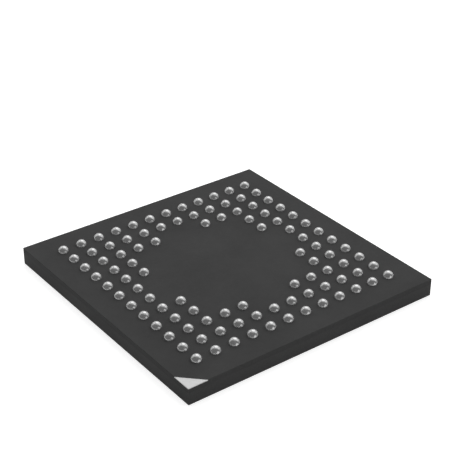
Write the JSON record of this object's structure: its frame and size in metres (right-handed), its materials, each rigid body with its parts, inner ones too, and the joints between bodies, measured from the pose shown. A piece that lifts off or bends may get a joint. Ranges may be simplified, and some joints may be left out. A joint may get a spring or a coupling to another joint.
{
  "type": "ball grid array chip",
  "caption": "Square black moulded chip with solder balls in a grid with an emptied centre, one pale corner triangle, lying on its moulded face, ball side up",
  "frame": {"origin": "middle of the moulded face that the chip lies on, at the bottom of the part", "axes": "+Z is the ball side and the thickness; columns 1 to 12 run along +X and rows A to M along +Y, so corner A1 is at -X -Y"},
  "size_m": [0.009, 0.009, 0.0007],
  "materials": {
    "mould": "black epoxy moulding compound, fine matt",
    "silicon": "polished silicon",
    "film": "adhesive film",
    "wire": "drawn gold wire",
    "copper": "etched copper",
    "mask": "black solder mask, satin",
    "laminate": "dark resin and glass laminate, sawn edge",
    "solder": "reflowed tin solder, bright",
    "plating": "pale plated copper, matt",
    "ink": "white marking ink"
  },
  "bodies": {
    "root": {"mould_cap": "mould", "silicon_die": "silicon", "die_attach_film": "film", "bond_wires_back": "wire", "bond_wires_left": "wire", "bond_wires_front": "wire", "bond_wires_right": "wire", "die_side_tracks_back": "copper", "die_side_tracks_left": "copper", "die_side_tracks_front": "copper", "die_side_tracks_right": "copper", "die_side_solder_mask": "mask", "laminate_core": "laminate", "via_posts": "copper", "ball_side_solder_mask": "mask", "ball_pads_row_a": "copper", "ball_pads_row_b": "copper", "ball_pads_row_c": "copper", "ball_pads_row_d": "copper", "ball_pads_row_e": "copper", "ball_pads_row_f": "copper", "ball_pads_row_g": "copper", "ball_pads_row_h": "copper", "ball_pads_row_j": "copper", "ball_pads_row_k": "copper", "ball_pads_row_l": "copper", "ball_pads_row_m": "copper", "solder_balls_row_a": "solder", "solder_balls_row_b": "solder", "solder_balls_row_c": "solder", "solder_balls_row_d": "solder", "solder_balls_row_e": "solder", "solder_balls_row_f": "solder", "solder_balls_row_g": "solder", "solder_balls_row_h": "solder", "solder_balls_row_j": "solder", "solder_balls_row_k": "solder", "solder_balls_row_l": "solder", "solder_balls_row_m": "solder", "corner_triangle": "plating", "pin_one_dot": "ink"}
  },
  "joints": []
}
